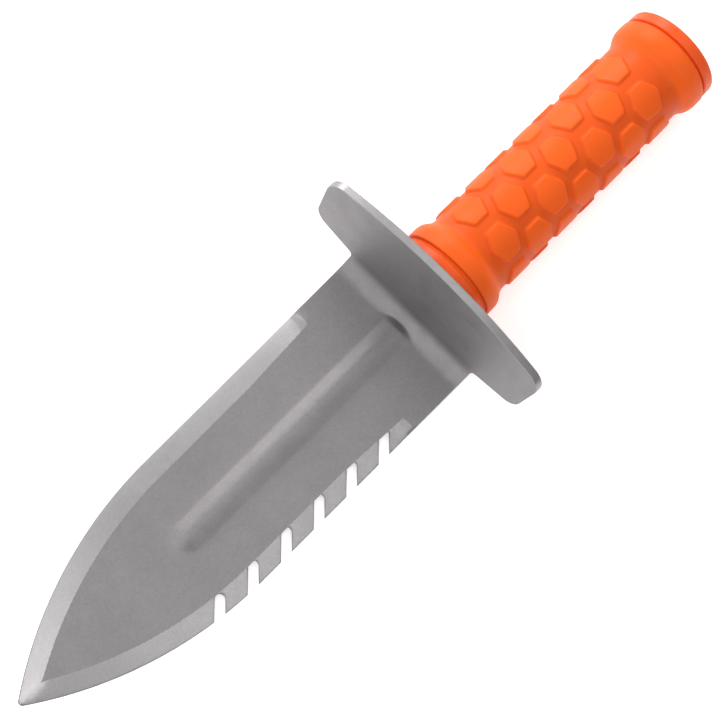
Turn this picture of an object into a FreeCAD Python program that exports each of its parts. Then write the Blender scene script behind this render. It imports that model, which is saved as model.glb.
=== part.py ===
import FreeCAD, Part
import math
import os

# Digging knife: one bent stainless sheet makes the blade and the hand guard,
# a steel tube is welded square to the guard's back, and the rubber grip is
# held on the tube between a front collar and a screwed butt cap.
#
# Frame, in millimetres: +X runs from the blade's tip to the butt, +Z is up
# from the blade's flat underside, which lies at Z = 0. X = 0 is half way
# along the whole knife, and the knife is centred on Y = 0. The slotted edge
# of the blade is on the -Y side.

V = FreeCAD.Vector

# Overall sizes
overall_length = 310.0
blade_length = 180.4            # tip to the corner where the guard turns up
blade_width = 55.2              # at the end of the curved point
blade_width_at_guard = 56.5
sheet = 3.0                     # thickness of the blade and guard

# Point and ground edges
point_arc_radius = 145.5        # each side of the point
tip_round = 1.4
edge_thickness = 0.9            # left at the ground edge
bevel_width = 7.3               # on the plain edge
slot_bevel_width = 6.7          # on the slotted edge
bevel_narrowing = 1.3           # lost over its last stretch, towards the guard
bevel_last_stretch = 30.0
bevel_tip_length = 10.2         # from the tip to where the two bevels meet
bevel_stop = 25.4               # unground blade left in front of the guard

# Slots in the -Y edge
slot_count = 6
slot_width = 3.6
slot_pitch = 15.52
slot_angle = 45.0
slot_end_inset = 5.6            # from the edge to the centre of the closed end
first_slot = 68.95              # from the tip to the first closed end's centre

# Stiffening rib pressed up along the middle of the blade
rib_half_width = 5.7
rib_slope = 22.0                # degrees, of both flanks
rib_crest_radius = 6.3
rib_start = 76.5                # from the tip to the round end's centre
hollow_gap = 1.2                # between the rib's hollow and the bend

# Guard, measured in its own plane up from the corner
guard_width = 96.2
guard_height = 38.9
guard_lean = 11.5               # backwards from square to the blade
guard_top_radius = 175.0
guard_top_half = 40.0           # half the width of the round top
guard_lobe_rise = 5.2           # lower edge of a lobe, at the blade's side
guard_lobe_slope = 8.6          # degrees
guard_end_slope = 3.8           # degrees that each end leans outwards
guard_corner_radius = 7.0
guard_low_corner_radius = 6.0
guard_relief_radius = 2.2       # where a lobe meets the blade's side
guard_root = 1.0                # the outline starts this far below the corner
bend_radius = 7.5               # inside the bend

# Handle tube, its weld and its threaded plug
tube_diameter = 25.0
tube_wall = 2.0
weld_leg = 3.0
weld_reach = 2.6                # of the bead forwards, into the bend below it
plug_length = 12.0
plug_gap = 0.5                  # between the plug and the butt cap's spigot

# Front collar, grip and butt cap
rim_radius = 18.5               # largest radius of the grip
collar_radius = 17.8
collar_thickness = 5.0          # behind the guard, at the collar's top
collar_edge = 0.7
weld_room = 0.5                 # around the weld, inside the collar
grip_radius = 15.8
rim_length = 3.4
rim_edge = 0.7
front_flare = 7.4
butt_flare = 8.1
groove_width = 1.0
groove_depth = 1.3
cap_radius = 18.1
cap_thickness = 4.6
cap_edge = 1.3
spigot_length = 8.0
spigot_clearance = 0.1
tube_end_gap = 0.6              # between the tube's end and the cap's flange

# Raised six-sided pads on the grip
pads_around = 6
pad_rings = 7
pad_pitch = 11.65
pad_offset = -1.1               # of the rings' middle from the waist's middle
pad_height = 0.9
pad_half_length = 5.9           # along the handle, to a point
pad_flat_half = 3.1             # half of the flat sides
pad_half_angle = 22.5           # around the handle, to a flat side
pad_phase = 21.5                # first ring's turn from +Z towards -Y
pad_draft = 25.0                # degrees that each side leans in

# Cap screw
screw_diameter = 6.0
screw_head_diameter = 11.0
screw_head_height = 3.2
screw_length = 20.0
screw_hole_clearance = 0.2
screw_head_clearance = 0.4
screw_dome = 1.92               # rounding of the head's top edge
screw_sink = 0.4                # the head's top, below the cap's face
socket_width = 4.0
socket_depth = 2.1

# Places that follow from the sizes
tip_x = -overall_length / 2
butt_x = overall_length / 2
corner = V(tip_x + blade_length, 0, sheet)
axis_z = rim_radius
tube_radius = tube_diameter / 2
bore_radius = tube_radius - tube_wall
tip_half_angle = math.acos(1 - blade_width / 2 / point_arc_radius)
tip_loss = tip_round * (1 / math.sin(tip_half_angle) - 1)
point_length = point_arc_radius * math.sin(tip_half_angle) - tip_loss
lean = math.radians(guard_lean)
bend_angle = math.radians(90.0 - guard_lean)
bend_run = bend_radius * math.tan(bend_angle / 2)


def guard_back(z):
    """X of the guard's back face at a height."""
    return corner.x + (z - sheet) * math.tan(lean) + sheet / math.cos(lean)


collar_back = guard_back(axis_z + collar_radius) + collar_thickness
cap_front = butt_x - cap_thickness
tube_end = cap_front - tube_end_gap
spigot_end = cap_front - spigot_length
plug_back = spigot_end - plug_gap
plug_front = plug_back - plug_length
head_seat = butt_x - screw_sink - screw_head_height


def rounded(points):
    """Closed wire in the XY plane through (x, y, corner radius) points."""
    edges = []
    starts = []
    ends = []
    count = len(points)
    for i in range(count):
        before = V(*points[i - 1][:2])
        here = V(*points[i][:2])
        after = V(*points[(i + 1) % count][:2])
        radius = points[i][2]
        if radius == 0:
            starts.append(here)
            ends.append(here)
            continue
        back = (before - here).normalize()
        on = (after - here).normalize()
        half = back.getAngle(on) / 2
        run = radius / math.tan(half)
        first = here + back * run
        last = here + on * run
        inward = (back + on).normalize()
        middle = here + inward * (radius / math.sin(half) - radius)
        edges.append(Part.Arc(first, middle, last).toShape())
        starts.append(first)
        ends.append(last)
    for i in range(count):
        first = ends[i]
        last = starts[(i + 1) % count]
        if first.distanceToPoint(last) > 1e-6:
            edges.append(Part.makeLine(first, last))
    return Part.Wire(Part.__sortEdges__(edges))


def prism(wire, direction):
    return Part.Face(wire).extrude(direction)


def turned(profile):
    """Solid of revolution about the handle's axis, from (x, radius) corners."""
    solid = Part.Face(rounded(profile)).revolve(V(), V(1, 0, 0), 360)
    solid.translate(V(0, 0, axis_z))
    return solid


def handle_rod(radius, start, end):
    return Part.makeCylinder(radius, end - start, V(start, 0, axis_z), V(1, 0, 0))


def on_guard(shape, offset=0.0):
    """Move a shape from its own YZ plane to the guard's plane."""
    shape.rotate(V(), V(0, 1, 0), guard_lean)
    shape.translate(corner + V(math.cos(lean), 0, -math.sin(lean)) * offset)
    return shape


def behind_guard(shape):
    """What is left of a shape behind the guard's back face."""
    size = 2 * overall_length
    block = Part.makeBox(size, size, size, V(-size, -size / 2, -size / 2))
    return shape.cut(on_guard(block, sheet))


# Blade and guard

def bent_sheet():
    """The whole sheet in side view, wide enough for every outline."""
    up = V(math.sin(lean), 0, math.cos(lean))
    back = V(math.cos(lean), 0, -math.sin(lean))
    tip_top = V(tip_x - sheet, 0, sheet)
    bend_start = corner - V(bend_run, 0, 0)
    centre = bend_start + V(0, 0, bend_radius)
    half_turn = V(math.sin(bend_angle / 2), 0, -math.cos(bend_angle / 2))
    bend_end = corner + up * bend_run
    top = corner + up * (guard_height + sheet)
    inner = Part.Arc(bend_start, centre + half_turn * bend_radius, bend_end)
    outer_end = bend_end + back * sheet
    outer_start = bend_start - V(0, 0, sheet)
    outer_radius = bend_radius + sheet
    outer = Part.Arc(outer_end, centre + half_turn * outer_radius, outer_start)
    edges = [
        Part.makeLine(tip_top, bend_start),
        inner.toShape(),
        Part.makeLine(bend_end, top),
        Part.makeLine(top, top + back * sheet),
        Part.makeLine(top + back * sheet, outer_end),
        outer.toShape(),
        Part.makeLine(outer_start, tip_top - V(0, 0, sheet)),
        Part.makeLine(tip_top - V(0, 0, sheet), tip_top),
    ]
    solid = prism(Part.Wire(edges), V(0, 2 * guard_width, 0))
    solid.translate(V(0, -guard_width, 0))
    return solid


def point_arc(half_width, length, radius, height, side):
    """Curved edge from the knife's centreline to the straight side."""
    end_x = tip_x + point_length
    start_x = end_x - length
    drop = radius - half_width
    full = math.asin(length / radius)
    middle = full / 2
    middle_x = end_x - radius * math.sin(middle)
    middle_y = radius * math.cos(middle) - drop
    return Part.Arc(
        V(start_x, 0, height),
        V(middle_x, side * middle_y, height),
        V(end_x, side * half_width, height),
    ).toShape()


def reach(half_width, radius):
    """Length of a point whose arc of this radius ends on the centreline."""
    return math.sqrt(radius**2 - (radius - half_width) ** 2)


def blade_prism():
    half = blade_width / 2
    half_at_guard = blade_width_at_guard / 2
    side_x = tip_x + point_length
    back_x = corner.x + 2 * (bend_radius + sheet)
    slope = (half_at_guard - half) / (corner.x - side_x)
    half_back = half + slope * (back_x - side_x)
    length = reach(half, point_arc_radius)
    edges = []
    for side in (1, -1):
        edges.append(point_arc(half, length, point_arc_radius, -sheet, side))
        straight = V(side_x, side * half, -sheet), V(back_x, side * half_back, -sheet)
        edges.append(Part.makeLine(*straight))
    edges.append(Part.makeLine(V(back_x, half_back, -sheet), V(back_x, -half_back, -sheet)))
    outline = Part.Wire(Part.__sortEdges__(edges))
    solid = prism(outline, V(0, 0, 3 * sheet + bend_radius))
    tip_edge = min(solid.Edges, key=lambda edge: edge.CenterOfMass.x)
    return solid.makeFillet(tip_round, [tip_edge])


def guard_prism():
    half = guard_width / 2
    side = blade_width_at_guard / 2
    top_slope = math.asin(guard_top_half / guard_top_radius)
    apex = guard_height + guard_top_radius * (1 / math.cos(top_slope) - 1)
    end_run = math.tan(math.radians(guard_end_slope))
    low = guard_lobe_rise + (half - side) * math.tan(math.radians(guard_lobe_slope))
    shoulder = apex - half * math.tan(top_slope)
    low_half = half - (shoulder - low) * end_run
    right = [
        (side, -guard_root, 0),
        (side, guard_lobe_rise, guard_relief_radius),
        (low_half, low, guard_low_corner_radius),
        (half, shoulder, guard_corner_radius),
    ]
    left = [(-y, v, radius) for y, v, radius in reversed(right)]
    outline = rounded(right + [(0, apex, guard_top_radius)] + left)
    # the outline's x is the knife's Y, and its y runs up the guard
    outline.rotate(V(), V(1, 1, 1), 120)
    depth = bend_radius + sheet
    outline.translate(V(-depth, 0, 0))
    return on_guard(prism(outline, V(2 * depth, 0, 0)))


def rib_solid(end_x, round_end):
    """Roof-shaped rib with a rounded crest, standing on the blade."""
    apex = rib_half_width * math.tan(math.radians(rib_slope))
    root = -sheet / 4
    section = Part.Face(rounded([
        (rib_half_width, root, 0),
        (rib_half_width, 0, 0),
        (0, apex, rib_crest_radius),
        (-rib_half_width, 0, 0),
        (-rib_half_width, root, 0),
    ]))
    # the section's x is the knife's Y, and its y is the knife's Z
    section.rotate(V(), V(1, 1, 1), 120)
    start_x = tip_x + rib_start
    section.translate(V(start_x, 0, sheet))
    rod = section.extrude(V(end_x - start_x, 0, 0))
    # each round end is only half a turn, so its faces stop at the rod's end
    side = Part.makeBox(1, rib_half_width, 3 * sheet, V(start_x - 0.5, 0, 0))
    half_section = section.common(side).Faces[0]
    pieces = [half_section.revolve(V(start_x, 0, 0), V(0, 0, 1), 180)]
    if round_end:
        far = half_section.translated(V(end_x - start_x, 0, 0))
        pieces.append(far.revolve(V(end_x, 0, 0), V(0, 0, 1), -180))
    return rod.fuse(pieces)


def bevel_cutter(side, width):
    """Everything above one slanting ground face."""
    half = blade_width / 2
    spill = 1.0
    side_x = tip_x + point_length
    stop_x = corner.x - bevel_stop
    narrow_x = stop_x - bevel_last_stretch
    slope = (blade_width_at_guard - blade_width) / 2 / (corner.x - side_x)
    outer_z = edge_thickness - (sheet - edge_thickness) / width * spill
    inner_length = point_length - bevel_tip_length
    inner_radius = (inner_length**2 + (half - width) ** 2) / (2 * (half - width))
    outer_radius = point_arc_radius + spill
    outer_length = reach(half + spill, outer_radius)
    edge_pairs = [(
        point_arc(half - width, inner_length, inner_radius, sheet, side),
        point_arc(half + spill, outer_length, outer_radius, outer_z, side),
    )]
    stations = ((side_x, width), (narrow_x, width), (stop_x, width - bevel_narrowing))
    for (x0, width0), (x1, width1) in zip(stations, stations[1:]):
        edge0 = half + slope * (x0 - side_x)
        edge1 = half + slope * (x1 - side_x)
        inner = (
            V(x0, side * (edge0 - width0), sheet),
            V(x1, side * (edge1 - width1), sheet),
        )
        outer = (
            V(x0, side * (edge0 + spill), outer_z),
            V(x1, side * (edge1 + spill), outer_z),
        )
        edge_pairs.append((Part.makeLine(*inner), Part.makeLine(*outer)))
    up = V(0, 0, 2 * sheet)
    return [Part.makeRuledSurface(inner, outer).extrude(up) for inner, outer in edge_pairs]


def slot_cutter(index):
    radius = slot_width / 2
    x = tip_x + first_slot + index * slot_pitch
    y = -(blade_width / 2 - slot_end_inset)
    end = Part.makeCylinder(radius, 3 * sheet, V(x, y, -sheet))
    length = 4 * slot_end_inset
    box = Part.makeBox(length, slot_width, 3 * sheet, V(0, -radius, -sheet))
    box.rotate(V(), V(0, 0, 1), 180 + slot_angle)
    box.translate(V(x, y, 0))
    return end.fuse(box)


def make_blade():
    whole = bent_sheet()
    blade = whole.common(blade_prism())
    guard = whole.common(guard_prism())
    body = blade.fuse(guard).removeSplitter()
    body = body.fuse(rib_solid(corner.x, False))
    hollow = rib_solid(corner.x - bend_run - hollow_gap - rib_half_width, True)
    hollow.translate(V(0, 0, -sheet))
    cutters = [hollow]
    cutters.extend(bevel_cutter(1, bevel_width))
    cutters.extend(bevel_cutter(-1, slot_bevel_width))
    cutters.extend(slot_cutter(index) for index in range(slot_count))
    return body.cut(cutters)


# Tube, weld and plug

def make_tube():
    outside = behind_guard(handle_rod(tube_radius, corner.x - tube_radius, tube_end))
    inside = handle_rod(bore_radius, corner.x - tube_diameter, butt_x)
    return outside.cut(inside)


def weld_cone(leg):
    """Cone frustum that leans with the guard, around the tube."""
    centre_v = (axis_z - sheet) / math.cos(lean) + sheet * math.tan(lean)
    wires = []
    for radius, back in ((tube_radius + leg, 0.0), (tube_radius, leg)):
        # a cut through the tube, parallel to the guard, is an ellipse
        centre = V(0, 0, centre_v + back * math.tan(lean))
        tall = V(0, 0, radius / math.cos(lean))
        wide = V(0, radius, 0)
        ellipse = Part.Ellipse(centre + tall, centre + wide, centre)
        wire = Part.Wire(ellipse.toShape())
        wires.append(on_guard(wire, sheet + back))
    return Part.makeLoft(wires, True, True)


def make_weld():
    """Bead round the tube, which also fills the gap down to the bend."""
    inside = handle_rod(tube_radius, corner.x - tube_diameter, butt_x)
    cone = weld_cone(weld_leg)
    front = min(cone.Faces, key=lambda face: face.CenterOfMass.x)
    ahead = V(-math.cos(lean), 0, math.sin(lean)) * weld_reach
    whole = cone.fuse(front.extrude(ahead)).cut(bent_sheet())
    return whole.cut(inside)


def make_plug():
    plug = handle_rod(bore_radius, plug_front, plug_back)
    return plug.cut(handle_rod(screw_diameter / 2, corner.x, butt_x))


# Collar, grip and cap

def make_collar():
    front = corner.x - rim_radius
    body = turned([
        (front, tube_radius, 0),
        (collar_back, tube_radius, 0),
        (collar_back, collar_radius, collar_edge),
        (front, collar_radius, 0),
    ])
    return behind_guard(body).cut(weld_cone(weld_leg + weld_room))


def s_curve(x0, r0, x1, r1):
    """Two equal arcs that leave and arrive along the handle."""
    run = abs(x1 - x0)
    rise = abs(r1 - r0)
    radius = (run**2 + rise**2) / (4 * rise)
    turn = math.asin(run / 2 / radius) / 2
    step_x = math.copysign(radius * math.sin(turn), x1 - x0)
    step_r = math.copysign(radius * (1 - math.cos(turn)), r1 - r0)
    middle = V((x0 + x1) / 2, (r0 + r1) / 2, 0)
    return [
        Part.Arc(V(x0, r0, 0), V(x0 + step_x, r0 + step_r, 0), middle).toShape(),
        Part.Arc(middle, V(x1 - step_x, r1 - step_r, 0), V(x1, r1, 0)).toShape(),
    ]


def rim_end(face_x, away):
    """Edges of one end of the grip: face, groove and rounded rim."""
    lip_x = face_x + away * groove_width
    groove_radius = rim_radius - groove_depth
    turn = rim_edge * (1 - math.sqrt(0.5))
    corner_in = V(lip_x, rim_radius - rim_edge, 0)
    corner_on = V(lip_x + away * turn, rim_radius - turn, 0)
    corner_out = V(lip_x + away * rim_edge, rim_radius, 0)
    rim_out = V(lip_x + away * rim_length, rim_radius, 0)
    return [
        Part.makeLine(V(face_x, tube_radius, 0), V(face_x, groove_radius, 0)),
        Part.makeLine(V(face_x, groove_radius, 0), V(lip_x, groove_radius, 0)),
        Part.makeLine(V(lip_x, groove_radius, 0), corner_in),
        Part.Arc(corner_in, corner_on, corner_out).toShape(),
        Part.makeLine(corner_out, rim_out),
    ]


def grip_pad():
    """One raised pad, on top of the handle, centred on X = 0."""
    top_radius = grip_radius + pad_height
    side = grip_radius * math.sin(math.radians(pad_half_angle))
    low = grip_radius * math.cos(math.radians(pad_half_angle)) - pad_height
    sections = []
    for height in (low, top_radius):
        lean_in = (height - grip_radius) * math.tan(math.radians(pad_draft))
        half = side - lean_in
        point = pad_half_length - lean_in
        flat = pad_flat_half - lean_in / 2
        base = [(point, 0), (flat, half), (-flat, half), (-point, 0), (-flat, -half), (flat, -half)]
        base.append(base[0])
        sections.append(Part.makePolygon([V(x, y, axis_z + height) for x, y in base]))
    block = Part.makeLoft(sections, True, True)
    rod = handle_rod(top_radius, -pad_pitch, pad_pitch)
    return block.common(rod)


def make_grip():
    front_x = collar_back
    back_x = cap_front
    front = rim_end(front_x, 1)
    back = rim_end(back_x, -1)
    front_rim = front_x + groove_width + rim_length
    back_rim = back_x - groove_width - rim_length
    waist_front = front_rim + front_flare
    waist_back = back_rim - butt_flare
    edges = front + s_curve(front_rim, rim_radius, waist_front, grip_radius)
    edges.append(Part.makeLine(V(waist_front, grip_radius, 0), V(waist_back, grip_radius, 0)))
    edges.extend(s_curve(waist_back, grip_radius, back_rim, rim_radius))
    edges.extend(back)
    edges.append(Part.makeLine(V(back_x, tube_radius, 0), V(front_x, tube_radius, 0)))
    outline = Part.Wire(Part.__sortEdges__(edges))
    body = Part.Face(outline).revolve(V(), V(1, 0, 0), 360)
    body.translate(V(0, 0, axis_z))
    pad = grip_pad()
    step = 360.0 / pads_around
    middle_x = (waist_front + waist_back) / 2 + pad_offset
    first_x = middle_x - pad_pitch * (pad_rings - 1) / 2
    pads = []
    for ring in range(pad_rings):
        stagger = -step / 2 if ring % 2 else 0.0
        for place in range(pads_around):
            copy = pad.copy()
            turn = pad_phase + stagger + place * step
            copy.rotate(V(0, 0, axis_z), V(1, 0, 0), turn)
            copy.translate(V(first_x + ring * pad_pitch, 0, 0))
            pads.append(copy)
    body = body.fuse(pads)
    return body.cut(handle_rod(tube_radius, tip_x, butt_x))


def make_cap():
    hole = screw_diameter / 2 + screw_hole_clearance
    sink = screw_head_diameter / 2 + screw_head_clearance
    spigot = bore_radius - spigot_clearance
    return turned([
        (spigot_end, hole, 0),
        (head_seat, hole, 0),
        (head_seat, sink, 0),
        (butt_x, sink, 0),
        (butt_x, cap_radius, cap_edge),
        (cap_front, cap_radius, collar_edge),
        (cap_front, spigot, 0),
        (spigot_end, spigot, 0),
    ])


def make_screw():
    shank = handle_rod(screw_diameter / 2, head_seat - screw_length, head_seat)
    head_radius = screw_head_diameter / 2
    head_top = head_seat + screw_head_height
    head = turned([
        (head_seat, 0, 0),
        (head_top, 0, 0),
        (head_top, head_radius, screw_dome),
        (head_seat, head_radius, 0),
    ])
    across = socket_width / math.sqrt(3)
    floor_x = head_top - socket_depth
    corners = []
    for k in range(7):
        angle = math.radians(60 * k)
        y = across * math.cos(angle)
        z = axis_z + across * math.sin(angle)
        corners.append(V(floor_x, y, z))
    socket = prism(Part.makePolygon(corners), V(screw_head_height, 0, 0))
    return shank.fuse(head).cut(socket)


nodes = {
    "blade": make_blade,
    "handle_tube": make_tube,
    "tube_weld": make_weld,
    "threaded_plug": make_plug,
    "front_collar": make_collar,
    "grip_sleeve": make_grip,
    "butt_cap": make_cap,
    "cap_screw": make_screw,
}

os.makedirs("parts", exist_ok=True)
for name, maker in nodes.items():
    shape = maker()
    box = shape.BoundBox
    print(
        f"{name}: valid {shape.isValid()}, {len(shape.Solids)} solid(s), {shape.Volume:.0f} mm3, "
        f"x {box.XMin:.2f}..{box.XMax:.2f} y {box.YMin:.2f}..{box.YMax:.2f} "
        f"z {box.ZMin:.2f}..{box.ZMax:.2f}"
    )
    shape.exportStep(f"parts/{name}.step")
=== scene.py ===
import math

import bpy
import numpy as np
from mathutils import Matrix, Vector
from mathutils.geometry import delaunay_2d_cdt


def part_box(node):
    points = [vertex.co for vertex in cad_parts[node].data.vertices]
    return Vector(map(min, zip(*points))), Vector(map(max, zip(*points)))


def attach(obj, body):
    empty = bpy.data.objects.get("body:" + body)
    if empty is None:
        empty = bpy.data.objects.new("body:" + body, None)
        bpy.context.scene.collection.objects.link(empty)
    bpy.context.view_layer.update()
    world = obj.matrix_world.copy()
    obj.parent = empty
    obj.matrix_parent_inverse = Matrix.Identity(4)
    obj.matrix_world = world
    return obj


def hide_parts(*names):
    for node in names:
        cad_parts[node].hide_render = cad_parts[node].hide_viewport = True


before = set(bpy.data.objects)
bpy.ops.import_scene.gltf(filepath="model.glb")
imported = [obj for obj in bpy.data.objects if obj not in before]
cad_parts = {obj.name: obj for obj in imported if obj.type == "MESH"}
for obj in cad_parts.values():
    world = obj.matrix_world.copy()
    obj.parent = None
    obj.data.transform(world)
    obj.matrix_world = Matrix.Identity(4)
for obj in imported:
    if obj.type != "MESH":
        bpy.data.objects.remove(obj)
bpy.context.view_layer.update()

# Everything is built in millimetres in the knife's own frame and scaled to
# metres when a mesh is made. +X runs from the tip to the butt, +Z is up, and
# the slotted edge is on the -Y side.
MM = 0.001


def cad_mm(node):
    low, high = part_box(node)
    return low / MM, high / MM


blade_low = cad_mm("blade")[0]
grip_low, grip_high = cad_mm("grip_sleeve")

# Blade and guard
tip_x = blade_low.x
sheet = 3.0
blade_length = 180.4                # tip to the corner where the guard turns up
corner_x = tip_x + blade_length
side_join = 4.0                     # the blade's side meets the lobe's outline here, before the corner
blade_half = 27.6
blade_half_at_guard = 28.25
point_radius = 145.5
tip_round = 1.4
edge_thickness = 0.9
bevel_widths = {1: 7.3, -1: 6.7}    # by side: plain edge +Y, slotted edge -Y
bevel_narrowing = 1.3
bevel_last_stretch = 30.0
bevel_tip_length = 10.2
bevel_stop = 25.4
slot_count = 6
slot_radius = 1.8
slot_pitch = 15.52
slot_end_inset = 5.6
first_slot = 68.95
rib_half = 5.7
rib_slope = math.radians(22.0)
rib_crest_radius = 6.3
rib_start = 76.5
hollow_gap = 1.2
rib_blend = 0.5                     # the rib's foot is rounded over this much
rib_run_out = (0.0, 6.0)            # it fades over this much before and past the bend's start
shoulder_reach = 4.5                # the sheet swells gently beside the rib
shoulder_slope = math.tan(math.radians(8.0))
bend_radius = 7.5
lean = math.radians(11.5)
guard_half = 48.08
guard_height = 38.9
guard_top_radius = 175.0
guard_top_half = 40.0
guard_lobe_rise = 5.2
guard_lobe_slope = math.radians(8.6)
guard_end_slope = math.radians(3.8)
guard_corner = 7.0
guard_low_corner = 6.0
guard_relief = 2.2
rim_round = 0.28                    # softened rim of the sheet

# Handle
axis_z = (grip_low.z + grip_high.z) / 2
rim_radius = (grip_high.z - grip_low.z) / 2
tube_radius = 12.5
grip_radius = 15.8
grip_front = grip_low.x
grip_back = grip_high.x
groove_width = 1.0
groove_depth = 1.3
rim_length = 3.4
rim_edge = 0.7
front_flare = 7.4
butt_flare = 8.1
pads_around = 6
pad_rings = 7
pad_pitch = 11.65
pad_offset = -1.1
pad_height = 0.9
pad_half_length = 5.9
pad_flat_half = 3.1
pad_half_angle = math.radians(22.5)
pad_phase = math.radians(21.5)

side_x = (
    tip_x
    + point_radius * math.sin(math.acos(1 - blade_half / point_radius))
    - tip_round * (1 / math.sin(math.acos(1 - blade_half / point_radius)) - 1)
)
bend_angle = math.pi / 2 - lean
bend_run = bend_radius * math.tan(bend_angle / 2)
bend_start = corner_x - bend_run
bend_length = (bend_radius + sheet / 2) * bend_angle
bend_end = bend_start + bend_length


# Mesh helpers

def new_object(name, verts, faces, materials=(), face_materials=None, smooth=True):
    mesh = bpy.data.meshes.new(name)
    mesh.from_pydata([tuple(v) for v in np.asarray(verts) * MM], [], faces)
    mesh.validate()
    for material in materials:
        mesh.materials.append(material)
    if face_materials is not None:
        mesh.polygons.foreach_set("material_index", face_materials)
    mesh.polygons.foreach_set("use_smooth", [smooth] * len(mesh.polygons))
    mesh.update()
    obj = bpy.data.objects.new(name, mesh)
    bpy.context.scene.collection.objects.link(obj)
    return obj


def weighted_normals(obj):
    modifier = obj.modifiers.new("normals", "WEIGHTED_NORMAL")
    modifier.mode = "FACE_AREA"
    modifier.weight = 50
    return obj


def settle(obj, slot, *nodes):
    """Give a finished piece its body and hide its CAD nodes. Its record slot is not used."""
    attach(obj, "root")
    if nodes:
        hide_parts(*nodes)
    return obj


# Outline of the flat sheet, before the guard is bent up. P runs along the
# blade and on up the guard, and Y is the knife's own.

def edge_half(p):
    """Half width of the blade's outline."""
    if p < side_x:
        drop = point_radius - math.sqrt(point_radius**2 - (side_x - p) ** 2)
        return blade_half - drop
    share = (p - side_x) / (corner_x - side_x)
    return blade_half + (blade_half_at_guard - blade_half) * share


def bevel_half(p, side):
    """Half width where the ground face starts. It is under 0 by the tip."""
    width = bevel_widths[side]
    stop = corner_x - bevel_stop
    if p < side_x:
        run = side_x - tip_x - bevel_tip_length
        half = blade_half - width
        radius = (run**2 + half**2) / (2 * half)
        return half - radius + np.sqrt(radius**2 - (side_x - p) ** 2)
    share = min(max((p - (stop - bevel_last_stretch)) / bevel_last_stretch, 0), 1)
    return edge_half(p) - width + bevel_narrowing * share


def ridge(p):
    """Where the two ground faces meet, between the tip and the flat."""
    reach = {side: edge_half(p) - bevel_half(p, side) for side in (1, -1)}
    level = bevel_half(p, 1) / reach[1] - bevel_half(p, -1) / reach[-1]
    return level / (1 / reach[1] + 1 / reach[-1])


def p_at(v):
    """P of a place on the guard's face, from its height above the corner."""
    if v >= bend_run:
        return bend_end + v - bend_run
    low, high = 0.0, bend_angle
    for _ in range(40):
        turn = (low + high) / 2
        x = bend_radius * math.sin(turn) - bend_run
        z = bend_radius * (1 - math.cos(turn))
        if x * math.sin(lean) + z * math.cos(lean) < v:
            low = turn
        else:
            high = turn
    return bend_start + low / bend_angle * bend_length


def rounded(points, step=0.35):
    """Open path through (p, y, radius) points, with its corners rounded."""
    path = []
    for i, (p, y, radius) in enumerate(points):
        here = np.array([p, y])
        if radius == 0:
            path.append(here)
            continue
        back = np.array(points[i - 1][:2]) - here
        on = np.array(points[i + 1][:2]) - here
        back /= np.linalg.norm(back)
        on /= np.linalg.norm(on)
        half = math.acos(np.clip(back @ on, -1, 1)) / 2
        inward = back + on
        inward /= np.linalg.norm(inward)
        centre = here + inward * radius / math.sin(half)
        first = here + back * radius / math.tan(half) - centre
        last = here + on * radius / math.tan(half) - centre
        sweep = math.pi - 2 * half
        turn = 1 if first[0] * last[1] - first[1] * last[0] > 0 else -1
        count = max(3, int(math.ceil(max(sweep * radius / step, sweep / math.radians(12)))))
        if radius > 50:
            count = int(sweep * radius / 1.5)
        start = math.atan2(first[1], first[0])
        for k in range(count + 1):
            a = start + turn * sweep * k / count
            path.append(centre + radius * np.array([math.cos(a), math.sin(a)]))
    return path


def spaced(path, longest):
    """The path with its long runs divided."""
    out = []
    for a, b in zip(path, path[1:]):
        count = max(1, int(math.ceil(np.linalg.norm(b - a) / longest)))
        out.extend(a + (b - a) * k / count for k in range(count))
    out.append(path[-1])
    return out


def slot_path(index):
    """Into a slot, round its closed end and out again, from tip to guard."""
    centre = np.array([
        tip_x + first_slot + index * slot_pitch,
        -(blade_half - slot_end_inset),
    ])
    out = -np.array([1.0, 1.0]) / math.sqrt(2)
    across = np.array([-1.0, 1.0]) / math.sqrt(2)

    def mouth(start):
        low, high = 0.0, 4 * slot_end_inset
        for _ in range(40):
            t = (low + high) / 2
            place = start + out * t
            if -place[1] < edge_half(place[0]):
                low = t
            else:
                high = t
        return start + out * low

    first = centre + across * slot_radius
    last = centre - across * slot_radius
    path = spaced([mouth(first), first], 0.8)
    for k in range(1, 16):
        a = math.radians(135 - 180 * k / 16)
        path.append(centre + slot_radius * np.array([math.cos(a), math.sin(a)]))
    return path + spaced([last, mouth(last)], 0.8)


def edge_path(side, slots):
    """Blade edge from the tip's round to the guard."""
    sharp = math.acos(1 - blade_half / point_radius)
    tip_centre = tip_x + tip_round
    path = []
    for k in range(7):
        a = math.pi - (math.pi / 2 - sharp) * k / 6
        x = tip_centre + tip_round * math.cos(a)
        path.append(np.array([x, tip_round * math.sin(a)]))
    x = path[-1][0] + 0.6
    edge = []
    while x < side_x:
        edge.append(np.array([x, edge_half(x)]))
        x += 1.2
    count = 60
    for k in range(count):
        x = side_x + (corner_x - side_join - side_x) * k / count
        edge.append(np.array([x, edge_half(x)]))
    path += edge
    if not slots:
        return [np.array([p, side * y]) for p, y in path]
    path = [np.array([p, -y]) for p, y in path]
    for index in range(slot_count):
        cut = slot_path(index)
        before = [q for q in path if q[0] < cut[0][0] - 0.15]
        after = [q for q in path if q[0] > cut[-1][0] + 0.15 and q[1] < -3]
        path = before + cut + after
    return path


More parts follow.
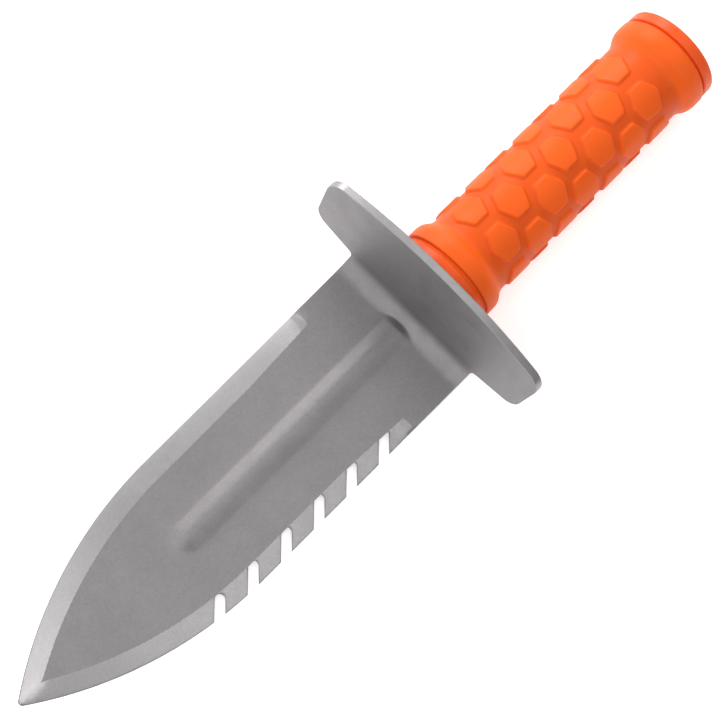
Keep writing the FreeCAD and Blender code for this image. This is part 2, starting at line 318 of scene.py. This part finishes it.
def sheet_outline():
    side = blade_half_at_guard
    top_slope = math.asin(guard_top_half / guard_top_radius)
    apex = guard_height + guard_top_radius * (1 / math.cos(top_slope) - 1)
    low = guard_lobe_rise + (guard_half - side) * math.tan(guard_lobe_slope)
    shoulder = apex - guard_half * math.tan(top_slope)
    low_half = guard_half - (shoulder - low) * math.tan(guard_end_slope)
    start = corner_x - side_join
    lobe = [
        (start, edge_half(start), 0),
        (p_at(guard_lobe_rise), side, guard_relief),
        (p_at(low), low_half, guard_low_corner),
        (p_at(shoulder), guard_half, guard_corner),
        (p_at(apex), 0, guard_top_radius),
    ]
    mirrored = [(p, -y, r) for p, y, r in lobe]
    whole = rounded(mirrored + [(p, y, r) for p, y, r in reversed(lobe[:-1])])
    lobes = spaced(whole, 1.5)
    slotted = edge_path(-1, True)
    plain = edge_path(1, False)
    return np.array(slotted + lobes + list(reversed(plain))[:-1])


def inward_normals(loop):
    before = np.roll(loop, 1, axis=0)
    after = np.roll(loop, -1, axis=0)
    e0 = loop - before
    e1 = after - loop
    e0 /= np.linalg.norm(e0, axis=1)[:, None]
    e1 /= np.linalg.norm(e1, axis=1)[:, None]
    n0 = np.stack([-e0[:, 1], e0[:, 0]], axis=1)
    n1 = np.stack([-e1[:, 1], e1[:, 0]], axis=1)
    n = n0 + n1
    return n / (1 + np.sum(n0 * n1, axis=1))[:, None]


# Heights of the sheet's two faces, before bending

def roof(d):
    """Height of the pressed rib at a distance from its middle line."""
    slope = math.tan(rib_slope)
    crest_reach = rib_crest_radius * math.sin(rib_slope)
    crest = rib_half * slope - rib_crest_radius * (1 / math.cos(rib_slope) - 1)
    flank = (rib_half - d) * slope
    round_top = crest - rib_crest_radius + np.sqrt(np.maximum(rib_crest_radius**2 - d**2, 0))
    foot = slope * (rib_half + rib_blend - d) ** 2 / (4 * rib_blend)
    h = np.where(d < crest_reach, round_top, flank)
    h = np.where(d > rib_half - rib_blend, foot, h)
    return np.where(d > rib_half + rib_blend, 0.0, h)


def shoulder(d):
    """Gentle swell of the upper face beside and under the rib."""
    t = np.clip((rib_half + shoulder_reach - d) / shoulder_reach, 0, 1)
    return shoulder_slope * shoulder_reach / 2 * t**2


def top_height(p, y):
    """Height of the upper face above the lower one, across the sheet."""
    start = tip_x + rib_start
    d = np.hypot(np.minimum(p - start, 0), y)
    gone = np.clip((p - bend_start + rib_run_out[0]) / sum(rib_run_out), 0, 1)
    rib = (roof(d) + shoulder(d)) * (1 - gone * gone * (3 - 2 * gone))
    turn = np.clip((p - bend_start) / bend_length, 0, 1) * bend_angle
    rib = np.maximum(0, bend_radius - (bend_radius - rib) / np.maximum(np.cos(turn), 1e-3))
    z = sheet + rib
    stop = corner_x - bevel_stop
    outer = np.array([edge_half(q) for q in p])
    fade = np.clip((stop - p) / 0.2, 0, 1)
    lowest = z
    for side in (1, -1):
        inner = np.array([bevel_half(q, side) for q in p])
        share = (side * y - inner) / np.maximum(outer - inner, 0.1)
        ground = z + (sheet - (sheet - edge_thickness) * share - z) * fade
        lowest = np.where(share > 0, np.minimum(lowest, ground), lowest)
    return lowest


def under_height(p, y):
    start = tip_x + rib_start
    end = bend_start - hollow_gap - rib_half
    d = np.hypot(np.minimum(p - start, 0) + np.maximum(p - end, 0), y)
    return roof(d)


def fold(p, y, h):
    """Place in the knife's frame of a point h above the sheet's lower face."""
    p, y, h = (np.asarray(a, float) for a in (p, y, h))
    turn = np.clip((p - bend_start) / bend_length, 0, 1) * bend_angle
    radius = bend_radius + sheet - h
    x = np.minimum(p, bend_start) + radius * np.sin(turn)
    z = sheet + bend_radius - radius * np.cos(turn)
    up = np.maximum(p - bend_end, 0)
    return np.stack([x + up * math.sin(lean), y, z + up * math.cos(lean)], axis=-1)


def inside(loop, points):
    """Which points lie inside a closed loop."""
    x, y = points[:, 0], points[:, 1]
    result = np.zeros(len(points), bool)
    x0, y0 = loop[-1]
    for x1, y1 in loop:
        crosses = (y0 > y) != (y1 > y)
        if y1 != y0:
            at = x0 + (y - y0) * (x1 - x0) / (y1 - y0)
            result ^= crosses & (x < at)
        x0, y0 = x1, y1
    return result


def near(loop, points, gap):
    result = np.zeros(len(points), bool)
    for i in range(0, len(points), 4000):
        block = points[i:i + 4000]
        d = np.linalg.norm(block[:, None, :] - loop[None, :, :], axis=2)
        result[i:i + 4000] = d.min(axis=1) < gap
    return result


def rib_points(end, round_end):
    """Rows that follow the rib and rings round its nose."""
    reach = rib_crest_radius * math.sin(rib_slope)
    crest = [0.5, 1.0, 1.5, reach, 3.0, 3.8, 4.6]
    foot = [5.2, 5.45, 5.7, 5.95, 6.2]
    stations = crest + foot + [6.8, 7.6, 8.5, 9.4, 10.2, 11.0]
    start = tip_x + rib_start
    points = []
    for x in np.arange(start, end, 1.1):
        points.append((x, 0.0))
        for d in stations:
            points += [(x, d), (x, -d)]
    for d in stations:
        count = max(6, int(math.pi * d / 0.9))
        for k in range(1, count):
            a = math.pi / 2 + math.pi * k / count
            points.append((start + d * math.cos(a), d * math.sin(a)))
            if round_end:
                points.append((end - d * math.cos(a), d * math.sin(a)))
    return points


def grid(p0, p1, step_p, half, step_y):
    return [
        (p, y)
        for p in np.arange(p0, p1, step_p)
        for y in np.arange(-half, half + 1e-6, step_y)
    ]


def fill(loop, points, lines=()):
    """Triangles that fill a loop, with loose points and crease lines in it."""
    points = np.array(points)
    keep = inside(loop, points) & ~near(loop, points, 0.45)
    for line in lines:
        keep &= ~near(np.array(line), points, 0.5)
    points = points[keep]
    coords = [Vector(q) for q in loop]
    edges = [(i, (i + 1) % len(loop)) for i in range(len(loop))]
    for line in lines:
        first = len(coords)
        coords += [Vector(q) for q in line]
        edges += [(first + k, first + k + 1) for k in range(len(line) - 1)]
    coords += [Vector(q) for q in points]
    out = delaunay_2d_cdt(coords, edges, [], 1, 1e-5)
    verts = np.array([(v.x, v.y) for v in out[0]])
    source = [min(ids) if ids else -1 for ids in out[3]]
    return verts, out[2], source


def crease_lines():
    """Pairs of lines along the start of each ground face, and at its stop."""
    lines = []
    stop = corner_x - bevel_stop
    gap = 0.1
    for side in (1, -1):
        first = tip_x + bevel_tip_length
        stations = first + (stop - first) * np.linspace(0, 1, 70)
        for shift in (-gap, gap):
            line = []
            for p in stations:
                y = bevel_half(p, side) + shift
                if y > 0.12:
                    line.append((p if p < stop - 0.01 else stop - 0.3, side * y))
            lines.append(line)
    lines.append([(p, ridge(p)) for p in np.linspace(tip_x + 1.2, tip_x + bevel_tip_length - 0.6, 8)])
    return lines


def make_blade(materials):
    outline = sheet_outline()
    normals = inward_normals(outline)
    inner = outline + normals * rim_round
    rings = []
    for face in ("top", "under"):
        for turn in (0, 22.5, 45, 67.5, 90):
            a = math.radians(turn)
            inset = rim_round * (1 - math.sin(a))
            drop = rim_round * (1 - math.cos(a))
            rings.append((face, inset, drop))
    rings = rings[:5] + list(reversed(rings[5:]))

    background = grid(tip_x, bend_start - 1, 3.1, 26.9, 3.0)
    background += grid(bend_start - 1.2, bend_end + 0.9, 0.55, 47.0, 1.7)
    background += grid(bend_end + 2.5, bend_end + 40, 3.0, 46.5, 3.0)
    rib_end = bend_start - 1.3
    bend_rows = grid(bend_start - 1.2, bend_end + 0.9, 0.55, 10.8, 0.45)
    bend_rows = [(p, y) for p, y in bend_rows if abs(y) > 0.01]
    background = [
        (p, y) for p, y in background
        if not (abs(y) < 12 and tip_x + rib_start - 12 < p < rib_end)
        and not (abs(y) < 11.2 and rib_end < p < bend_end + 1)
    ]
    top_points = background + bend_rows + rib_points(rib_end, False)
    under_points = background + bend_rows + rib_points(bend_start - hollow_gap - rib_half, True)

    verts = []
    faces = []
    kinds = []
    count = len(outline)
    stop = corner_x - bevel_stop

    top_xy, top_faces, top_source = fill(inner, top_points, crease_lines())
    top_z = top_height(top_xy[:, 0], top_xy[:, 1])
    under_xy, under_faces, under_source = fill(inner, under_points)
    under_z = under_height(under_xy[:, 0], under_xy[:, 1])
    verts.append(fold(top_xy[:, 0], top_xy[:, 1], top_z))
    verts.append(fold(under_xy[:, 0], under_xy[:, 1], under_z))
    offset = len(top_xy)

    for face in top_faces:
        faces.append(tuple(face))
        p, y = top_xy[list(face)].mean(axis=0)
        ground = p < stop - 0.05 and abs(y) > bevel_half(p, 1 if y > 0 else -1)
        kinds.append(1 if ground else 0)
    for face in under_faces:
        faces.append(tuple(offset + i for i in reversed(face)))
        kinds.append(0)

    top_ring = {s: i for i, s in enumerate(top_source) if 0 <= s < count}
    under_ring = {s: i + offset for i, s in enumerate(under_source) if 0 <= s < count}
    offset += len(under_xy)
    outline_top = top_height(outline[:, 0], outline[:, 1])
    ids = []
    for face, inset, drop in rings:
        if face == "top" and drop == 0:
            ids.append([top_ring[i] for i in range(count)])
            continue
        if face == "under" and drop == 0:
            ids.append([under_ring[i] for i in range(count)])
            continue
        place = outline + normals * inset
        height = outline_top - drop if face == "top" else np.full(count, drop)
        verts.append(fold(place[:, 0], place[:, 1], height))
        ids.append(list(range(offset, offset + count)))
        offset += count
    for upper, lower in zip(ids, ids[1:]):
        for i in range(count):
            j = (i + 1) % count
            faces.append((upper[i], lower[i], lower[j], upper[j]))
            kinds.append(2)
    obj = new_object("blade_and_guard", np.concatenate(verts), faces, materials, kinds)
    for polygon in obj.data.polygons:
        polygon.use_smooth = polygon.material_index != 1
    return weighted_normals(obj)


# Grip

def s_curve(x0, r0, x1, r1, count):
    """Points on two equal arcs that leave and arrive along the handle."""
    run, rise = abs(x1 - x0), abs(r1 - r0)
    radius = (run**2 + rise**2) / (4 * rise)
    full = math.asin(run / 2 / radius)
    sx, sr = math.copysign(1, x1 - x0), math.copysign(1, r1 - r0)
    points = []
    for k in range(count + 1):
        a = full * k / count
        points.append((x0 + sx * radius * math.sin(a), r0 + sr * radius * (1 - math.cos(a))))
    for k in range(count - 1, -1, -1):
        a = full * k / count
        points.append((x1 - sx * radius * math.sin(a), r1 - sr * radius * (1 - math.cos(a))))
    return points


def soft_corner(corner, before, after, radius, count=4):
    """Round off one corner of a profile."""
    corner, before, after = (np.array(q, float) for q in (corner, before, after))
    back = (before - corner) / np.linalg.norm(before - corner)
    on = (after - corner) / np.linalg.norm(after - corner)
    first = corner + back * radius
    last = corner + on * radius
    points = []
    for k in range(count + 1):
        t = k / count
        points.append(tuple((1 - t) ** 2 * first + 2 * t * (1 - t) * corner + t**2 * last))
    return points


def profile(points):
    """Profile through (x, r) or (x, r, rounding) points."""
    out = []
    for i, q in enumerate(points):
        if len(q) == 3 and q[2] > 0:
            out += soft_corner(q[:2], points[i - 1][:2], points[i + 1][:2], q[2])
        else:
            out.append(tuple(q[:2]))
    return out


def around(x, r, turn):
    """Place on the handle. The turn is from +Z towards -Y."""
    x, r, turn = np.broadcast_arrays(*(np.asarray(a, float) for a in (x, r, turn)))
    return np.stack([x, -r * np.sin(turn), axis_z + r * np.cos(turn)], axis=-1)


per_edge = 8                        # mesh steps along each side of a pad's cell


def pad_loop(grow):
    """Six-sided loop round a pad, in (x, arc length), rounded at its corners."""
    mean = grip_radius + pad_height / 2
    half = pad_half_angle * mean
    corners = np.array([
        (pad_half_length, 0), (pad_flat_half, half), (-pad_flat_half, half),
        (-pad_half_length, 0), (-pad_flat_half, -half), (pad_flat_half, -half),
    ])
    normals = -inward_normals(corners)
    corners = corners + normals * grow
    rounding = max(0.25, 1.1 + grow * 0.6)
    points = []
    for i in range(6):
        a, b = corners[i], corners[(i + 1) % 6]
        length = np.linalg.norm(b - a)
        for k in range(per_edge):
            t = k / per_edge
            place = a + (b - a) * t
            run = t * length
            pull = max(0, 1 - min(run, length - run) / rounding)
            near_corner = a if run < length / 2 else b
            inward = -(near_corner / np.linalg.norm(near_corner))
            place = place + inward * 0.16 * rounding * pull**2
            points.append(place)
    return np.array(points)


def cell_loop():
    """The border that a pad's cell shares with its neighbours."""
    mean = grip_radius + pad_height / 2
    point = pad_half_length + 1.0
    flat = pad_pitch - point
    half = math.pi / pads_around * mean
    corners = [(point, 0), (flat, half), (-flat, half), (-point, 0), (-flat, -half), (flat, -half)]
    corners = [np.array(c) for c in corners]
    return np.array([
        corners[i] + (corners[(i + 1) % 6] - corners[i]) * k / per_edge
        for i in range(6) for k in range(per_edge)
    ])


def pad_rise(grow):
    t = min(max((0.6 - grow) / 1.2, 0), 1)
    return pad_height * t * t * (3 - 2 * t)


def make_grip(material):
    mean = grip_radius + pad_height / 2
    front_rim = grip_front + groove_width + rim_length
    back_rim = grip_back - groove_width - rim_length
    waist_front = front_rim + front_flare
    waist_back = back_rim - butt_flare
    middle = (waist_front + waist_back) / 2 + pad_offset
    cell = cell_loop()
    loops = [(cell, 0.0)]
    for grow in (0.85, 0.6, 0.42, 0.24, 0.08, -0.08, -0.24, -0.42, -0.6, -0.85):
        loops.append((pad_loop(grow), pad_rise(grow)))
    last = loops[-1][0]
    for scale in (0.75, 0.45, 0.18):
        loops.append((last * scale, pad_height))
    per_loop = 6 * per_edge
    verts = []
    faces = []
    lookup = {}

    def add(x, turn, r):
        """Shared borders are found again by their place."""
        turn = turn % (2 * math.pi)
        key = (round(x * 200), round(turn * 20000) % round(2 * math.pi * 20000))
        if key not in lookup:
            lookup[key] = len(verts)
            verts.append(around(x, r, turn))
        return lookup[key]

    step = 2 * math.pi / pads_around
    for ring in range(pad_rings):
        x0 = middle + (ring - (pad_rings - 1) / 2) * pad_pitch
        stagger = -step / 2 if ring % 2 else 0.0
        for place in range(pads_around):
            turn0 = pad_phase + stagger + place * step
            ids = []
            for number, (loop, rise) in enumerate(loops):
                row = []
                for x, arc in loop:
                    if number == 0:
                        row.append(add(x0 + x, turn0 + arc / mean, grip_radius))
                    else:
                        row.append(len(verts))
                        verts.append(around(x0 + x, grip_radius + rise, turn0 + arc / mean))
                ids.append(row)
            for outer, inner in zip(ids, ids[1:]):
                for k in range(per_loop):
                    n = (k + 1) % per_loop
                    faces.append((outer[k], inner[k], inner[n], outer[n]))
            centre = len(verts)
            verts.append(around(x0, grip_radius + pad_height, turn0))
            for k in range(per_loop):
                faces.append((ids[-1][k], centre, ids[-1][(k + 1) % per_loop]))

    def zigzag(ring, outward):
        """Ids and turns of the pads' outer border at one end."""
        x0 = middle + (ring - (pad_rings - 1) / 2) * pad_pitch
        stagger = -step / 2 if ring % 2 else 0.0
        found = {}
        for place in range(pads_around):
            turn0 = pad_phase + stagger + place * step
            for x, arc in cell:
                if outward * x > pad_pitch - pad_half_length - 1.0 - 1e-6:
                    turn = (turn0 + arc / mean) % (2 * math.pi)
                    found[round(turn * 20000)] = (add(x0 + x, turn, grip_radius), turn)
        return [found[key] for key in sorted(found)]

    front_profile = [(waist_front - 0.02, grip_radius)]
    front_profile += s_curve(waist_front, grip_radius, front_rim, rim_radius, 8)[1:]
    lip = grip_front + groove_width
    low = rim_radius - groove_depth
    front_profile += profile([
        (front_rim, rim_radius),
        (lip, rim_radius, rim_edge),
        (lip, low, 0.3),
        (grip_front, low, 0.2),
        (grip_front, tube_radius),
    ])[1:]
    back_profile = [(waist_back + 0.02, grip_radius)]
    back_profile += s_curve(waist_back, grip_radius, back_rim, rim_radius, 8)[1:]
    lip = grip_back - groove_width
    back_profile += profile([
        (back_rim, rim_radius),
        (lip, rim_radius, rim_edge),
        (lip, low, 0.3),
        (grip_back, low, 0.2),
        (grip_back, tube_radius),
    ])[1:]
    ends = []
    for ring, outward, points in ((0, -1, front_profile), (pad_rings - 1, 1, back_profile)):
        border = zigzag(ring, outward)
        row = [i for i, _ in border]
        turns = np.array([t for _, t in border])
        for x, r in points:
            new = list(range(len(verts), len(verts) + len(row)))
            verts.extend(around(x, r, turns))
            for k in range(len(row)):
                n = (k + 1) % len(row)
                quad = (row[k], row[n], new[n], new[k])
                faces.append(quad if outward > 0 else tuple(reversed(quad)))
            row = new
        ends.append((row, turns))
    (front_row, front_turns), (back_row, back_turns) = ends
    # the bore joins the two ends, which have their points at the same turns
    # or half a pad apart
    order = []
    for turn in front_turns:
        apart = (back_turns - turn + math.pi) % (2 * math.pi) - math.pi
        order.append(int(np.argmin(np.abs(apart))))
    count = len(front_row)
    for k in range(count):
        n = (k + 1) % count
        faces.append((front_row[n], front_row[k], back_row[order[k]], back_row[order[n]]))
    return new_object("rubber_grip", np.array(verts), faces, [material])


# Materials

def node_material(name):
    material = bpy.data.materials.new(name)
    material.use_nodes = True
    nodes, links = material.node_tree.nodes, material.node_tree.links
    shader = nodes["Principled BSDF"]
    place = nodes.new("ShaderNodeTexCoord")
    return material, nodes, links, shader, place


def noise(nodes, links, place, scale, detail=3.0, stretch=(1, 1, 1)):
    mapping = nodes.new("ShaderNodeMapping")
    mapping.inputs["Scale"].default_value = stretch
    links.new(place.outputs["Object"], mapping.inputs["Vector"])
    texture = nodes.new("ShaderNodeTexNoise")
    texture.inputs["Scale"].default_value = scale
    texture.inputs["Detail"].default_value = detail
    links.new(mapping.outputs["Vector"], texture.inputs["Vector"])
    return texture.outputs["Fac"]


def ramp(nodes, links, value, stops):
    node = nodes.new("ShaderNodeValToRGB")
    elements = node.color_ramp.elements
    while len(elements) < len(stops):
        elements.new(0.5)
    for element, (position, colour) in zip(elements, stops):
        element.position = position
        element.color = (*colour, 1) if len(colour) == 3 else colour
    links.new(value, node.inputs["Fac"])
    return node.outputs["Color"]


def bump(nodes, links, shader, value, strength, distance, previous=None):
    node = nodes.new("ShaderNodeBump")
    node.inputs["Strength"].default_value = strength
    node.inputs["Distance"].default_value = distance
    links.new(value, node.inputs["Height"])
    if previous is not None:
        links.new(previous, node.inputs["Normal"])
    links.new(node.outputs["Normal"], shader.inputs["Normal"])
    return node.outputs["Normal"]


def grey(level, warm=0.0):
    return (level * (1 + warm), level, level * (1 + 0.3 * warm))


def multiply(nodes, links, colour, factor):
    node = nodes.new("ShaderNodeMix")
    node.data_type = "RGBA"
    node.blend_type = "MULTIPLY"
    node.inputs["Factor"].default_value = 1.0
    links.new(colour, node.inputs["A"])
    links.new(factor, node.inputs["B"])
    return node.outputs["Result"]


def grain(nodes, links, place, colour):
    """Fine light and dark grain."""
    fine = noise(nodes, links, place, 1500, 2)
    shade = ramp(nodes, links, fine, [(0.25, (0.925,) * 3), (0.75, (1.075,) * 3)])
    return multiply(nodes, links, colour, shade)


def painted_tip_light(nodes, links, place, colour):
    """Painted light: the ground steel is painted lighter near the point, standing in for light falling on
    the bevels there.
    """
    split = nodes.new("ShaderNodeSeparateXYZ")
    links.new(place.outputs["Object"], split.inputs[0])
    span = nodes.new("ShaderNodeMapRange")
    span.interpolation_type = "SMOOTHSTEP"
    span.inputs["From Min"].default_value = tip_x * MM
    span.inputs["From Max"].default_value = (tip_x + 75.0) * MM
    links.new(split.outputs["X"], span.inputs["Value"])
    shade = ramp(nodes, links, span.outputs["Result"], [(0.0, (1.32,) * 3), (1.0, (1.0,) * 3)])
    return multiply(nodes, links, colour, shade)


def painted_pad_shade(nodes, links, place, colour):
    """Painted shade between the raised pads: the colour is darkened towards the pads' foot, by distance
    from the handle's axis.
    """
    split = nodes.new("ShaderNodeSeparateXYZ")
    links.new(place.outputs["Object"], split.inputs[0])
    rise = nodes.new("ShaderNodeMath")
    rise.operation = "SUBTRACT"
    links.new(split.outputs["Z"], rise.inputs[0])
    rise.inputs[1].default_value = axis_z * MM
    join = nodes.new("ShaderNodeCombineXYZ")
    links.new(split.outputs["Y"], join.inputs["X"])
    links.new(rise.outputs[0], join.inputs["Y"])
    length = nodes.new("ShaderNodeVectorMath")
    length.operation = "LENGTH"
    links.new(join.outputs[0], length.inputs[0])
    span = nodes.new("ShaderNodeMapRange")
    span.inputs["From Min"].default_value = grip_radius * MM
    span.inputs["From Max"].default_value = (grip_radius + pad_height) * MM
    links.new(length.outputs["Value"], span.inputs["Value"])
    shade = ramp(nodes, links, span.outputs["Result"], [(0.0, (0.86, 0.80, 0.80)), (0.8, (1.0, 1.0, 1.0))])
    return multiply(nodes, links, colour, shade)


def blasted_steel():
    """Fine matt surface left by bead blasting."""
    material, nodes, links, shader, place = node_material("blasted_stainless")
    shader.inputs["Metallic"].default_value = 1.0
    cloud = noise(nodes, links, place, 45, 4)
    colour = ramp(nodes, links, cloud, [(0.3, grey(0.262, 0.05)), (0.7, grey(0.283, 0.05))])
    links.new(grain(nodes, links, place, colour), shader.inputs["Base Color"])
    rough = ramp(nodes, links, noise(nodes, links, place, 160, 2), [(0.3, (0.52,) * 3), (0.7, (0.60,) * 3)])
    links.new(rough, shader.inputs["Roughness"])
    fine = noise(nodes, links, place, 4200, 2)
    bump(nodes, links, shader, fine, 0.35, 0.00008)
    return material


def ground_steel():
    """Smoother ground face, with fine lines across the edge."""
    material, nodes, links, shader, place = node_material("ground_stainless")
    shader.inputs["Metallic"].default_value = 1.0
    cloud = noise(nodes, links, place, 60, 4)
    colour = ramp(nodes, links, cloud, [(0.3, grey(0.343, 0.04)), (0.7, grey(0.377, 0.04))])
    # painted light: the ground faces are painted lighter towards the point
    colour = painted_tip_light(nodes, links, place, grain(nodes, links, place, colour))
    links.new(colour, shader.inputs["Base Color"])
    lines = noise(nodes, links, place, 1600, 3)
    rough = ramp(nodes, links, lines, [(0.3, (0.40,) * 3), (0.7, (0.52,) * 3)])
    links.new(rough, shader.inputs["Roughness"])
    bump(nodes, links, shader, lines, 0.1, 0.00005)
    return material


def rim_steel():
    material, nodes, links, shader, place = node_material("cut_stainless")
    shader.inputs["Metallic"].default_value = 1.0
    cloud = noise(nodes, links, place, 300, 4)
    colour = ramp(nodes, links, cloud, [(0.3, grey(0.285, 0.03)), (0.7, grey(0.32, 0.03))])
    links.new(colour, shader.inputs["Base Color"])
    shader.inputs["Roughness"].default_value = 0.45
    bump(nodes, links, shader, noise(nodes, links, place, 2500, 2), 0.3, 0.00008)
    return material


def rubber():
    material, nodes, links, shader, place = node_material("orange_rubber")
    cloud = noise(nodes, links, place, 40, 4)
    colour = ramp(nodes, links, cloud, [(0.3, (0.84, 0.108, 0.009)), (0.7, (0.90, 0.121, 0.012))])
    # painted shade: the rubber is painted darker in the grooves between the pads
    links.new(painted_pad_shade(nodes, links, place, colour), shader.inputs["Base Color"])
    shader.inputs["Specular IOR Level"].default_value = 0.15
    rough = ramp(nodes, links, noise(nodes, links, place, 220, 3), [(0.3, (0.42,) * 3), (0.7, (0.5,) * 3)])
    links.new(rough, shader.inputs["Roughness"])
    shader.inputs["Subsurface Weight"].default_value = 0.0
    bump(nodes, links, shader, noise(nodes, links, place, 1400, 3), 0.12, 0.0001)
    return material


def plastic():
    material, nodes, links, shader, place = node_material("orange_plastic")
    cloud = noise(nodes, links, place, 60, 3)
    colour = ramp(nodes, links, cloud, [(0.3, (0.80, 0.088, 0.009)), (0.7, (0.85, 0.098, 0.012))])
    shader.inputs["Specular IOR Level"].default_value = 0.25
    links.new(colour, shader.inputs["Base Color"])
    rough = ramp(nodes, links, noise(nodes, links, place, 500, 2), [(0.3, (0.36,) * 3), (0.7, (0.44,) * 3)])
    links.new(rough, shader.inputs["Roughness"])
    bump(nodes, links, shader, noise(nodes, links, place, 2600, 2), 0.08, 0.00006)
    return material


def plain_steel(name, level, roughness):
    material, nodes, links, shader, place = node_material(name)
    shader.inputs["Metallic"].default_value = 1.0
    cloud = noise(nodes, links, place, 120, 4)
    colour = ramp(nodes, links, cloud, [(0.3, grey(level * 0.92)), (0.7, grey(level * 1.05))])
    links.new(colour, shader.inputs["Base Color"])
    rough = ramp(nodes, links, cloud, [(0.3, (roughness * 0.9,) * 3), (0.7, (roughness * 1.1,) * 3)])
    links.new(rough, shader.inputs["Roughness"])
    bump(nodes, links, shader, noise(nodes, links, place, 1800, 3), 0.2, 0.00006)
    return material


# Build the pieces

blade = make_blade([blasted_steel(), ground_steel(), rim_steel()])
settle(blade, "stainless_blade", "blade")

grip = make_grip(rubber())
settle(grip, "orange_rubber", "grip_sleeve")

cad_finishes = {
    "handle_tube": plain_steel("tube_steel", 0.55, 0.4),
    "tube_weld": plain_steel("weld_metal", 0.42, 0.5),
    "threaded_plug": plain_steel("plug_steel", 0.5, 0.4),
    "cap_screw": plain_steel("screw_steel", 0.6, 0.28),
    "front_collar": plastic(),
    "butt_cap": plastic(),
}
for node, material in cad_finishes.items():
    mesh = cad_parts[node].data
    mesh.materials.clear()
    mesh.materials.append(material)


# Floor, light and camera

def make_floor():
    size = 4000.0                   # half the floor's width
    corners = [(-size, -size, 0), (size, -size, 0), (size, size, 0), (-size, size, 0)]
    floor = new_object("floor", np.array(corners), [(0, 1, 2, 3)], smooth=False)
    material, nodes, links, shader, place = node_material("pale_floor")
    shader.inputs["Base Color"].default_value = (0.97, 0.97, 0.97, 1)
    shader.inputs["Roughness"].default_value = 0.9
    shader.inputs["Specular IOR Level"].default_value = 0.0
    shader.inputs["Emission Color"].default_value = (1, 1, 1, 1)
    shader.inputs["Emission Strength"].default_value = 0.45
    floor.data.materials.append(material)


def soft_light(azimuth, elevation, power):
    """Round lamp aimed at the knife. The azimuth is from +X towards +Y."""
    lamp_distance = 1.3             # metres
    name = f"light_{azimuth}_{elevation}"
    light = bpy.data.lights.new(name, "AREA")
    light.shape = "DISK"
    light.size = 0.7
    light.energy = power
    a, e = math.radians(azimuth), math.radians(elevation)
    place = lamp_distance * Vector((math.cos(e) * math.cos(a), math.cos(e) * math.sin(a), math.sin(e)))
    obj = bpy.data.objects.new(name, light)
    obj.location = place
    obj.rotation_euler = (-place).to_track_quat("-Z", "Y").to_euler()
    bpy.context.scene.collection.objects.link(obj)


def make_world(level):
    world = bpy.data.worlds.new("studio")
    world.use_nodes = True
    background = world.node_tree.nodes["Background"]
    background.inputs["Color"].default_value = (1, 1, 1, 1)
    background.inputs["Strength"].default_value = level
    bpy.context.scene.world = world


def make_camera():
    """Above the tip's side of the knife, looking down and slightly forward."""
    tilt = math.radians(12.37)
    sideways = math.radians(2.1)
    roll = math.radians(44.85)
    distance = 0.7047               # metres
    aim = 158.0                     # from the tip to the point looked at
    view = Vector((
        math.sin(tilt) * math.cos(sideways),
        math.sin(sideways),
        -math.cos(tilt) * math.cos(sideways),
    ))
    along = Vector((1, 0, 0))
    along = (along - view * along.dot(view)).normalized()
    across = view.cross(along)
    right = along * math.cos(roll) + across * math.sin(roll)
    up = along * math.sin(roll) - across * math.cos(roll)
    target = Vector(((tip_x + aim) * MM, 0.0014, sheet * MM))
    target += right * 0.00052 + up * 0.00025
    data = bpy.data.cameras.new("camera")
    data.lens = 105.0
    data.sensor_width = 36.0
    data.clip_start = 0.01
    camera = bpy.data.objects.new("camera", data)
    turn = Matrix((right, up, -view)).transposed().to_4x4()
    camera.matrix_world = Matrix.Translation(target - view * distance) @ turn
    bpy.context.scene.collection.objects.link(camera)
    bpy.context.scene.camera = camera


make_floor()
make_world(0.05)
for azimuth, elevation, power in (
    (0, 50, 3.2),
    (0, 85, 1.6),
    (45, 25, 7.0),
    (70, 25, 7.3),
    (110, 25, 1.8),
    (135, 50, 3.0),
    (180, 10, 2.8),
    (180, 30, 2.5),
    (180, 65, 2.6),
    (270, 50, 3.6),
    (315, 25, 0.8),
):
    soft_light(azimuth, elevation, power)
make_camera()
bpy.context.scene.view_settings.view_transform = "Standard"
bpy.context.scene.view_settings.look = "None"

bpy.context.view_layer.update()
